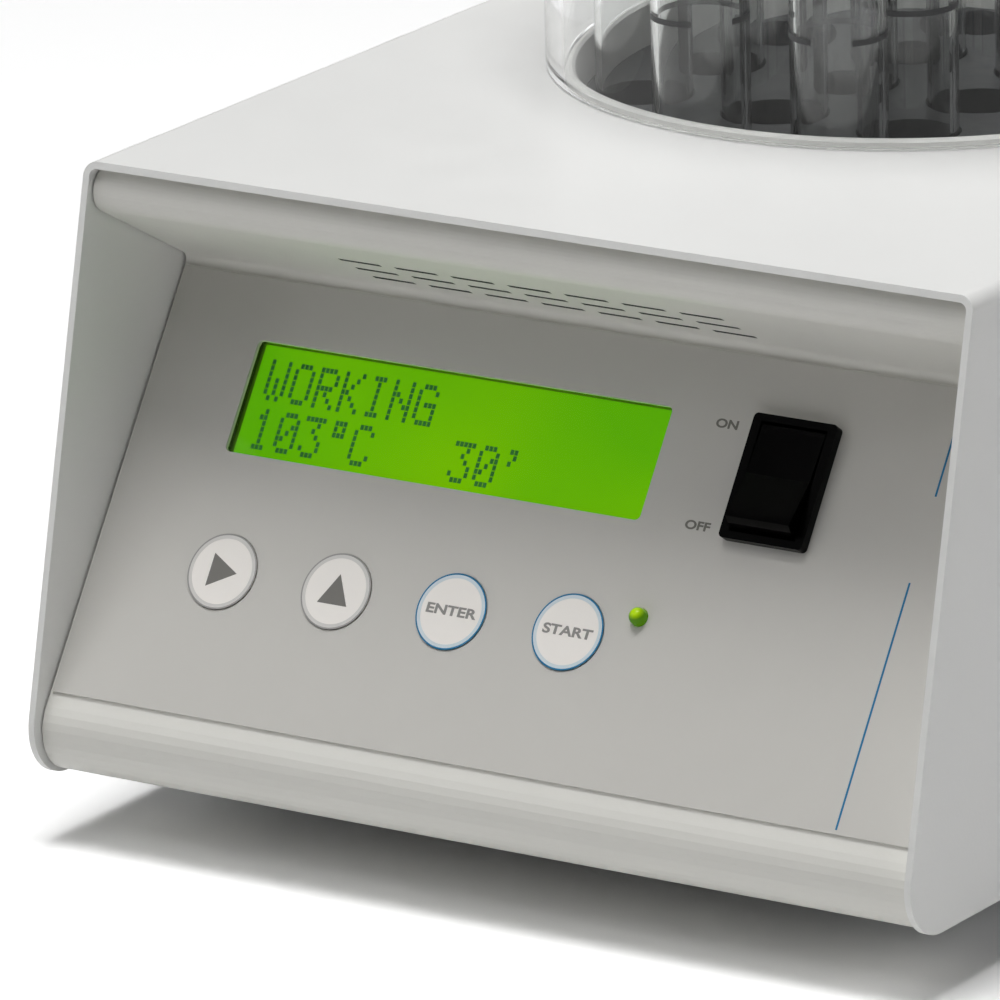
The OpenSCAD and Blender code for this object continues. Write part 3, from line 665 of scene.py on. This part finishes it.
@dataclass
class Case:
    """Cover, front and rear panels, base, feet and screws.

    A cross is given for a head of radius head_r and follows the head's size. The soffit's slots are given in
    the plane that falls from the top of the front panel.
    """

    WELD: ClassVar[float] = 1e-6
    LEVEL: ClassVar[float] = 1e-5
    FACING: ClassVar[float] = 0.999

    shop: Workshop
    head_r: float = 2.9
    cross_length: float = 3.4
    cross_width: float = 0.75
    cross_film: float = 0.012
    cross_deep: float = 0.2
    cross_turn: float = math.radians(25)
    slot: Point = (8.0, 1.3)
    first_slot: Point = (-38.21, -7.81)
    slot_pitch: Point = (10.87, 5.6)
    slot_count: tuple[int, int] = (7, 3)
    slot_fall: float = math.radians(29)
    slot_reach: Point = (-18.39, -17.21)
    shade_film: float = 0.03

    def build(self) -> None:
        """Dresses the sheet metal, marks the crosses of the screws with painted shade and lays painted shade
        in the soffit's slots.
        """
        f = self.shop.finishes
        self.shop.dress({"cover": f.cover, "front_panel": f.front, "rear_panel": f.rear,
                         "base_plate": f.base, "feet": f.rubber, "foot_screws": f.steel,
                         "case_screws": f.steel, "collar": f.collar, "front_foil": f.foil})
        for node in ("case_screws", "foot_screws"):
            build = bmesh.new()
            # Each cross is a plate of painted shade laid on its head.
            for head, out, radius in self.heads(node):
                self.cross(build, head, out, radius)
            name = f"{node}_crosses"
            self.shop.add(name, mesh_of(name, build), f.cross_shade, slot="screw_steel")
        self.slot_shade_liners()

    def slot_shade_liners(self) -> None:
        """Lays a dark film of painted shade on the walls of the soffit's slots, where shade falls inside
        them.
        """
        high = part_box("front_panel")[1]
        place = Matrix.Translation((0, high.y, high.z)) @ Matrix.Rotation(-self.slot_fall, 4, "X")
        width, height, film = (size * MM for size in (*self.slot, self.shade_film))
        low, top = (reach * MM for reach in self.slot_reach)
        build = bmesh.new()
        for column in range(self.slot_count[0]):
            for row in range(self.slot_count[1]):
                x = (self.first_slot[0] + column * self.slot_pitch[0]) * MM
                y = (self.first_slot[1] + row * self.slot_pitch[1]) * MM
                for side in (-1, 1):
                    for outline in (oblong(width, film, x, y + side * (height - film) / 2),
                                    oblong(film, height - 2 * film, x + side * (width - film) / 2, y)):
                        plate(build, outline, low, top, place)
        self.shop.add("slot_shade_liners", mesh_of("slot_shade_liners", build), self.shop.finishes.slot_wall_shade,
                      slot="painted_front")

    def heads(self, node: str) -> list[Head]:
        """Finds the outer face of each screw's head.

        Args:
            node: a node whose solids are screws.

        Returns:
            For each head the middle of its face, the way it looks and its radius.
        """
        build = bmesh.new()
        build.from_mesh(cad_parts[node].data)
        bmesh.ops.remove_doubles(build, verts=build.verts, dist=self.WELD)
        found = []
        left = dict.fromkeys(build.faces)
        while left:
            screw, edge = [], [left.popitem()[0]]
            while edge:
                face = edge.pop()
                screw.append(face)
                for other in (o for line in face.edges for o in line.link_faces):
                    if other in left:
                        del left[other]
                        edge.append(other)
            found.append(self.head_of(screw))
        build.free()
        return found

    def head_of(self, screw: list[bmesh.types.BMFace]) -> Head:
        """Picks the flat end of a screw that has the larger area.

        Args:
            screw: every face of the screw.

        Returns:
            The middle of that end, the way it looks and its radius.
        """
        corners = [v.co.copy() for face in screw for v in face.verts]
        best, chosen = 0.0, None
        for axis in range(3):
            for sign in (-1, 1):
                out = Vector([sign if i == axis else 0 for i in range(3)])
                reach = max(out.dot(c) for c in corners)
                end = [face for face in screw if face.normal.dot(out) > self.FACING
                       and abs(out.dot(face.calc_center_median()) - reach) < self.LEVEL]
                area = sum(face.calc_area() for face in end)
                if area > best:
                    rim = [v.co for face in end for v in face.verts]
                    middle = [(min(c[i] for c in rim) + max(c[i] for c in rim)) / 2 for i in range(3)]
                    best, chosen = area, (Vector(middle), out, math.sqrt(area / math.pi))
        return chosen

    def cross(self, build: WorkMesh, head: Vector, out: Vector, radius: float) -> None:
        """Marks the cross in a head with a dark plate of painted shade, which stands in for the shade in its
        recess.

        Args:
            build: the work mesh.
            head: the middle of the head's face.
            out: the way the face looks.
            radius: the head's radius.
        """
        scale = radius / (self.head_r * MM)
        place = (Matrix.Translation(head) @ out.to_track_quat("Z", "Y").to_matrix().to_4x4()
                 @ Matrix.Rotation(self.cross_turn, 4, "Z"))
        long, wide = self.cross_length * MM * scale, self.cross_width * MM * scale
        arm = (long - wide) / 2
        for outline in (oblong(long, wide), oblong(wide, arm, 0, (wide + arm) / 2),
                        oblong(wide, arm, 0, -(wide + arm) / 2)):
            plate(build, outline, -self.cross_deep * MM, self.cross_film * MM, place)


@dataclass
class Display:
    """Green dot-matrix display behind its window, with painted shade of the window's edge laid on it."""

    shop: Workshop
    panel: Panel
    lines: tuple[str, str] = ("WORKING", "103°C   30'")
    first_x: float = -59.23
    first_up: float = 61.21
    pitch: float = 4.854
    line_pitch: float = 8.469
    dot_pitch: Point = (0.80, 1.0244)
    dot: Point = (0.66, 0.86)
    dot_film: float = 0.03
    face: float = -1.345
    window: tuple[float, float, float, float] = (-64.3, 16.8, 44.3, 64.5)
    dark_shade_width: float = 0.45
    soft_shade_width: float = 1.0
    shade_film: float = 0.02
    top_share: float = 0.6
    letters: dict[str, str] = field(default_factory=lambda: {
        "W": "10001 10001 10001 10101 10101 10101 01010",
        "O": "01110 10001 10001 10001 10001 10001 01110",
        "R": "11110 10001 10001 11110 10100 10010 10001",
        "K": "10001 10010 10100 11000 10100 10010 10001",
        "I": "01110 00100 00100 00100 00100 00100 01110",
        "N": "10001 10001 11001 10101 10011 10001 10001",
        "G": "01110 10001 10000 10111 10001 10001 01111",
        "1": "00100 01100 00100 00100 00100 00100 01110",
        "0": "01110 10001 10011 10101 11001 10001 01110",
        "3": "11111 00010 00100 00010 00001 10001 01110",
        "°": "01110 01010 01110 00000 00000 00000 00000",
        "C": "01110 10001 10000 10000 10000 10001 01110",
        "'": "01100 00100 01000 00000 00000 00000 00000",
    })

    def build(self) -> None:
        """Dresses the display and its boards, and lays its dots and its strips of painted shade."""
        f = self.shop.finishes
        self.shop.dress({"display_window": f.window, "display_glass": f.display, "display_board": f.board,
                         "control_board": f.board, "board_spacers": f.nylon})
        build = bmesh.new()
        for row, line in enumerate(self.lines):
            for column, letter in enumerate(line):
                if letter in self.letters:
                    self.lay(build, self.letters[letter], self.first_x + column * self.pitch,
                             self.first_up - row * self.line_pitch)
        self.shop.add("display_dots", mesh_of("display_dots", build), f.ink, slot="display_green")
        self.edge("display_shade_dark", self.dark_shade_width, self.shade_film, f.display_shade_dark)
        self.edge("display_shade_soft", self.soft_shade_width, 0.0, f.display_shade_soft)

    def edge(self, name: str, width: float, above: float, finish: Finish) -> None:
        """Lays a strip of painted shade along the left and the top of the picture, where the window's edge
        shades it.

        Args:
            name: the strip's name.
            width: its width at the left, in millimetres.
            above: how far it lies over the picture's face.
            finish: what it is finished in.
        """
        left, right, low, high = self.window
        top = width * self.top_share
        place = self.panel.place(0, 0, self.face + above)
        build = bmesh.new()
        for wide, tall, x, up in ((width, high - low, left + width / 2, (low + high) / 2),
                                  (right - left - width, top, (left + width + right) / 2, high - top / 2)):
            plate(build, oblong(wide * MM, tall * MM, x * MM, up * MM), 0, self.shade_film * MM, place)
        self.shop.add(name, mesh_of(name, build), finish, slot="display_green")

    def lay(self, build: WorkMesh, rows: str, middle: float, top: float) -> None:
        """Lays the dark dots of one letter.

        Args:
            build: the work mesh.
            rows: the letter's seven rows of five, dark dots as 1.
            middle: sideways place of its middle column.
            top: place of its top row up the panel.
        """
        outline = oblong(self.dot[0] * MM, self.dot[1] * MM)
        for j, row in enumerate(rows.split()):
            for i, mark in enumerate(row):
                if mark == "1":
                    x = middle + (i - len(row) // 2) * self.dot_pitch[0]
                    spot = self.panel.place(x, top - j * self.dot_pitch[1], self.face)
                    plate(build, outline, 0, self.dot_film * MM, spot)


@dataclass
class Keypad:
    """Four keys with their printed marks, and the indicator lamp."""

    shop: Workshop
    panel: Panel
    count: int = 4
    grey_count: int = 2
    first_x: float = -57.2
    pitch: float = 22.3
    up: float = 24.6
    key_top: float = 0.7
    crown: float = 0.08
    ring_r: Point = (6.22, 6.48)
    band_r: Point = (5.62, 6.22)
    ring_deep: float = 0.10
    ring_rise: float = 0.01
    ring_steps: int = 64
    film: float = 0.02
    arrow_side: float = 2.92
    arrow_back: float = 0.78
    arrow_half: float = 0.98
    arrow_deep: float = 0.05
    capital: float = 1.66
    word_above: float = 0.012
    lettering: Lettering = field(default_factory=lambda: Lettering(0.07, 1.40))

    def build(self) -> None:
        """Dresses the lamp and the keys, and prints the keys' rings, arrows and words."""
        f = self.shop.finishes
        self.shop.dress({"indicator_lamp": f.lamp})
        for number in range(1, self.count + 1):
            self.shop.dress({f"key_{number}": f.key})
            blue = number > self.grey_count
            self.ring(number, "ring", self.ring_r, f.print_blue if blue else f.print_ring)
            self.ring(number, "band", self.band_r, f.print_sky if blue else f.print_pale)
        self.arrow(1, 0.0)
        self.arrow(2, math.pi / 2)
        self.word(3, "ENTER")
        self.word(4, "START")

    def middle(self, number: int, out: float) -> Matrix:
        """Place of a key's middle at a height over the steel."""
        return self.panel.place(self.first_x + (number - 1) * self.pitch, self.up, out)

    def print_on(self, number: int, kind: str, mesh: Mesh, finish: Finish) -> None:
        """Adds a mark that moves with its key."""
        self.shop.add(f"key_{kind}_{number}", mesh, finish, f"key_{number}", slot="key_white")

    def ring(self, number: int, kind: str, radii: Point, finish: Finish) -> None:
        """Prints a ring near the edge of a key.

        Args:
            number: the key's number.
            kind: what the ring is called.
            radii: its inner and outer radius, in millimetres.
            finish: what it is printed in.
        """
        inner, outer = radii[0] * MM, radii[1] * MM
        top = (self.key_top - self.crown + self.film) * MM
        low = top - self.ring_deep * MM
        profile = [(inner, low), (outer, low), (outer, top), (inner, top + self.ring_rise * MM)]
        build = bmesh.new()
        spin(build, profile, self.middle(number, 0), self.ring_steps, closed=True)
        self.print_on(number, kind, mesh_of(f"key_{kind}_{number}", build), finish)

    def arrow(self, number: int, turn: float) -> None:
        """Prints a solid arrow head on a key.

        Args:
            number: the key's number.
            turn: how far the arrow is turned from pointing right.
        """
        side = self.arrow_side * MM
        back, half = side * self.arrow_back, side * self.arrow_half
        corners = [(x * math.cos(turn) - y * math.sin(turn), x * math.sin(turn) + y * math.cos(turn))
                   for x, y in ((-back, -half), (side, 0.0), (-back, half))]
        build = bmesh.new()
        plate(build, corners, -self.arrow_deep * MM, self.film * MM, self.middle(number, self.key_top))
        self.print_on(number, "arrow", mesh_of(f"key_arrow_{number}", build), self.shop.finishes.print_arrow)

    def word(self, number: int, words: str) -> None:
        """Prints a word on a key.

        Args:
            number: the key's number.
            words: what is printed.
        """
        place = self.middle(number, self.key_top + self.word_above)
        mesh = self.lettering.mesh(f"key_word_{number}", words, self.capital, place)
        self.print_on(number, "word", mesh, self.shop.finishes.print_word)


@dataclass
class Switch:
    """Rocker switch, with its words beside it."""

    shop: Workshop
    panel: Panel
    words: tuple[tuple[str, str, Point], ...] = (("print_on", "ON", (27.0, 62.65)),
                                                 ("print_off", "OFF", (27.15, 45.35)))
    capital: float = 1.5
    word_above: float = 0.015
    lettering: Lettering = field(default_factory=lambda: Lettering(0.06, 1.3))

    def build(self) -> None:
        """Dresses the switch and prints its two words."""
        f = self.shop.finishes
        self.shop.dress({"switch_body": f.bezel, "switch_rocker": f.black_gloss})
        for name, words, (x, up) in self.words:
            place = self.panel.place(x, up, self.panel.foil_t + self.word_above)
            self.shop.add(name, self.lettering.mesh(name, words, self.capital, place), f.print_switch,
                          slot="foil")


@dataclass
class Stripe:
    """Thin blue line down the right of the foil."""

    shop: Workshop
    panel: Panel
    x: float = 67.8
    lengths: tuple[Point, ...] = ((0.7, 42.0), (56.5, 72.0))
    width: float = 0.35
    film: float = 0.03

    def build(self) -> None:
        """Prints the line's two lengths."""
        place = self.panel.place(self.x, 0, self.panel.foil_t)
        build = bmesh.new()
        for low, high in self.lengths:
            outline = oblong(self.width * MM, (high - low) * MM, 0, (high + low) / 2 * MM)
            plate(build, outline, 0, self.film * MM, place)
        self.shop.add("blue_line", mesh_of("blue_line", build), self.shop.finishes.print_blue, slot="foil")


@dataclass
class Tubes:
    """Test tubes with their caps, the sample low in them and a dark ring round each, painted shade that
    stands in for the dark line of a liquid's meniscus.
    """

    shop: Workshop
    count: int = 12
    steps: int = 48
    wall: float = 1.1
    overlap: float = 0.03
    bottom_step: int = 9
    sample_depth: float = 34.0
    bulge: float = 0.9
    bulge_power: int = 8
    bulge_parts: tuple[float, ...] = (0.97, 0.92, 0.84, 0.7, 0.4)
    ring_up: float = 71.2
    ring_height: float = 1.0
    ring_film: Point = (0.01, 0.05)
    ring_steps: int = 60
    ring_gap: float = math.radians(50)
    gap_first: float = -19.0
    gap_turn: float = -24.0

    def build(self) -> None:
        """Dresses and fills each tube and lays its ring of painted shade."""
        f = self.shop.finishes
        for number in range(1, self.count + 1):
            self.shop.dress({f"tube_{number}": f.glass, f"tube_cap_{number}": f.cap})
            self.fill(number)
            self.mark(number)

    def axis(self, number: int) -> tuple[Matrix, float]:
        """Place of a tube's lowest point, and the tube's radius."""
        low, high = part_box(f"tube_{number}")
        return Matrix.Translation(((low.x + high.x) / 2, (low.y + high.y) / 2, low.z)), (high.x - low.x) / 2

    def fill(self, number: int) -> None:
        """Adds the sample, with the rim of its surface drawn up at the wall.

        Args:
            number: the tube's number.
        """
        place, outer = self.axis(number)
        radius = outer - (self.wall - self.overlap) * MM
        level, bulge = self.sample_depth * MM, self.bulge * MM
        turns = [math.radians(a) for a in range(0, 90, self.bottom_step)]
        profile = [(radius * math.sin(a), outer - radius * math.cos(a)) for a in turns]
        profile += [(radius, outer), (radius, level + bulge)]
        profile += [(radius * part, level + bulge * part ** self.bulge_power) for part in self.bulge_parts]
        profile.append((0, level))
        build = bmesh.new()
        spin(build, profile, place, self.steps)
        name = f"sample_{number}"
        self.shop.add(name, mesh_of(name, build, True), self.shop.finishes.liquid, f"tube_{number}",
                      slot="tube_glass")

    def mark(self, number: int) -> None:
        """Lays the dark ring of painted shade, whose gap lies elsewhere on each tube.

        Args:
            number: the tube's number.
        """
        place, outer = self.axis(number)
        start = math.radians(self.gap_first + self.gap_turn * number) + self.ring_gap / 2
        length = 2 * math.pi - self.ring_gap
        inner, over = (outer + film * MM for film in self.ring_film)
        low, high = self.ring_up * MM, (self.ring_up + self.ring_height) * MM
        build = bmesh.new()
        loops = []
        for step in range(self.ring_steps + 1):
            turn = start + length * step / self.ring_steps
            out = Vector((math.cos(turn), math.sin(turn), 0))
            loops.append([build.verts.new(place @ (out * r + Vector((0, 0, z))))
                          for r, z in ((inner, low), (over, low), (over, high), (inner, high))])
        for first, second in zip(loops, loops[1:]):
            for i in range(4):
                build.faces.new((first[i], first[(i + 1) % 4], second[(i + 1) % 4], second[i]))
        build.faces.new(loops[0])
        build.faces.new(loops[-1][::-1])
        name = f"painted_meniscus_ring_{number}"
        self.shop.add(name, mesh_of(name, build), self.shop.finishes.meniscus_shade, f"tube_{number}",
                      slot="tube_glass")


@dataclass
class Heater:
    """Block, its heater and what hangs on it, the guard and the parts behind the rear panel."""

    shop: Workshop
    socket_depth: float = 15.0
    socket_up: float = 5.9
    pin: Triple = (2.0, 12.0, 4.0)
    pins: tuple[Point, ...] = ((-7.0, -1.5), (0.0, 2.0), (7.0, -1.5))
    plating: float = 0.03

    def build(self) -> None:
        """Dresses the nodes and plates the pins of the mains socket."""
        f = self.shop.finishes
        self.shop.dress({"heating_block": f.block, "guard": f.guard, "block_heater": f.mica,
                         "heater_clamp": f.steel, "clamp_screws": f.steel, "temperature_probe": f.steel,
                         "overheat_cutout": f.sink, "insulation_jacket": f.fibre,
                         "block_pillars": f.ceramic, "power_board": f.board, "transformer": f.winding,
                         "heat_sink": f.sink, "terminal_block": f.terminal, "mains_inlet": f.black,
                         "fuse_drawer": f.black})
        low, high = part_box("mains_inlet")
        width, length, height = self.pin
        outline = oblong((width + 2 * self.plating) * MM, (height + 2 * self.plating) * MM)
        build = bmesh.new()
        for x, up in self.pins:
            middle = Vector(((low.x + high.x) / 2 + x * MM, high.y + (length / 2 - self.socket_depth) * MM,
                             (low.z + high.z) / 2 + (self.socket_up + up) * MM))
            plate(build, outline, -length / 2 * MM, (length / 2 + self.plating) * MM,
                  Matrix.Translation(middle) @ Matrix.Rotation(-math.pi / 2, 4, "X"))
        self.shop.add("inlet_pins", mesh_of("inlet_pins", build), f.brass)


@dataclass(frozen=True)
class Softbox:
    """A soft lamp: where it hangs, its width and height, and its power in watts."""

    name: str
    at: Triple
    size: Point
    power: float


@dataclass
class Studio:
    """Camera, floor, surroundings and lamps."""

    azimuth: float = math.radians(33.596)
    elevation: float = math.radians(17.016)
    roll: float = math.radians(-1.415)
    aim: Triple = (-0.003427, -0.110511, 0.065605)
    stand_off: float = 1.90409
    lens: float = 428.9
    sensor: float = 36.0
    clip: Point = (0.1, 50.0)
    floor_size: float = 9.0
    floor_up: float = -0.0002
    floor_shade: Colour = (0.86, 0.86, 0.86)
    floor_rough: float = 0.9
    floor_seen: Colour = (1.3, 1.3, 1.3)
    fade: Point = (0.40, 0.90)
    backdrop: Colour = (0.8, 0.8, 0.8)
    surround: float = 0.02
    mirrored: float = 0.12
    lit: Triple = (0.0, 0.0, 0.08)
    lamps: tuple[Softbox, ...] = (Softbox("top_softbox", (-0.1, -0.15, 1.7), (0.7, 0.7), 20.8),
                                  Softbox("front_softbox", (-0.2, -0.9, 1.5), (1.2, 0.8), 3.6),
                                  Softbox("left_softbox", (-1.5, -1.2, 0.9), (1.0, 1.0), 4.3),
                                  Softbox("right_softbox", (1.6, 0.8, 0.7), (1.0, 1.0), 5.9))

    def build(self) -> None:
        """Sets up the studio."""
        self.camera()
        self.floor()
        self.surroundings()
        for box in self.lamps:
            self.lamp(box)

    def camera(self) -> None:
        """Camera at the photograph's place."""
        data = bpy.data.cameras.new("camera")
        data.sensor_width = self.sensor
        data.lens = self.lens
        data.clip_start, data.clip_end = self.clip
        camera = bpy.data.objects.new("camera", data)
        bpy.context.scene.collection.objects.link(camera)
        turn = (Matrix.Rotation(self.azimuth, 4, "Z") @ Matrix.Rotation(math.pi / 2 - self.elevation, 4, "X")
                @ Matrix.Rotation(self.roll, 4, "Z"))
        away = Matrix.Translation((0, 0, self.stand_off))
        camera.matrix_world = Matrix.Translation(self.aim) @ turn @ away
        bpy.context.scene.camera = camera

    def floor(self) -> None:
        """Lays the floor, one face that looks up."""
        build = bmesh.new()
        outline = oblong(self.floor_size, self.floor_size)
        build.faces.new([build.verts.new((x, y, self.floor_up)) for x, y in outline])
        floor = bpy.data.objects.new("floor", mesh_of("floor", build))
        bpy.context.scene.collection.objects.link(floor)
        floor.data.materials.append(self.floor_white())

    def floor_white(self) -> Material:
        """Makes the floor white where it is seen, with the heater's shadow near it.

        Light meets plain white. A view from below passes through.

        Returns:
            The material.
        """
        tree = Tree(bpy.data.materials.new("floor_white"))
        tree.set(tree.surface, "Base Color", (*self.floor_shade, 1))
        tree.set(tree.surface, "Roughness", self.floor_rough)
        tree.set(tree.surface, "Specular IOR Level", 0.0)
        rays = tree.nodes.new("ShaderNodeLightPath")
        seen = tree.nodes.new("ShaderNodeMath")
        seen.operation = "MAXIMUM"
        tree.set(seen, 0, rays.outputs["Is Camera Ray"])
        tree.set(seen, 1, rays.outputs["Is Transmission Ray"])
        bright = tree.add("ShaderNodeBsdfDiffuse", Color=(*self.floor_seen, 1))
        white = tree.add("ShaderNodeEmission", Color=(1, 1, 1, 1), Strength=1.0)
        away = tree.ramp(tree.vector("LENGTH", tree.here(), output="Value"), *self.fade, 0, 1)
        shown = tree.choose(seen.outputs[0], tree.surface, tree.choose(away, bright, white))
        below = tree.nodes.new("ShaderNodeNewGeometry").outputs["Backfacing"]
        result = tree.choose(below, shown, tree.nodes.new("ShaderNodeBsdfTransparent"))
        tree.set(tree.nodes["Material Output"], "Surface", result.outputs[0])
        return tree.owner

    def surroundings(self) -> None:
        """Light for the camera, also through glass, soft in reflections and faint as a light."""
        world = bpy.data.worlds.new("surroundings")
        bpy.context.scene.world = world
        tree = Tree(world)
        rays = tree.nodes.new("ShaderNodeLightPath")
        shown = tree.nodes["Background"]
        tree.set(shown, "Color", (1, 1, 1, 1))
        tree.set(shown, "Strength", self.surround)
        for ray, strength in (("Is Glossy Ray", self.mirrored), ("Is Transmission Ray", 1.0),
                              ("Is Camera Ray", 1.0)):
            over = tree.add("ShaderNodeBackground", Color=(*self.backdrop, 1), Strength=strength)
            shown = tree.choose(rays.outputs[ray], shown, over)
        tree.set(tree.nodes["World Output"], "Surface", shown.outputs[0])

    def lamp(self, box: Softbox) -> None:
        """Hangs a soft lamp that looks at the heater.

        Args:
            box: the lamp.
        """
        data = bpy.data.lights.new(box.name, "AREA")
        data.shape = "RECTANGLE"
        data.size, data.size_y = box.size
        data.energy = box.power
        lamp = bpy.data.objects.new(box.name, data)
        bpy.context.scene.collection.objects.link(lamp)
        lamp.location = box.at
        lamp.rotation_euler = (Vector(self.lit) - Vector(box.at)).to_track_quat("-Z", "Y").to_euler()


def main() -> None:
    """Builds the heater's looks and the studio."""
    logging.basicConfig(level=logging.INFO, format="%(message)s")
    bpy.context.scene.view_settings.view_transform = "Standard"
    shop = Workshop()
    panel = Panel()
    for part in (Studio(), Case(shop), Heater(shop), Display(shop, panel), Keypad(shop, panel),
                 Switch(shop, panel), Stripe(shop, panel), Tubes(shop)):
        part.build()


if __name__ == "__main__":
    main()
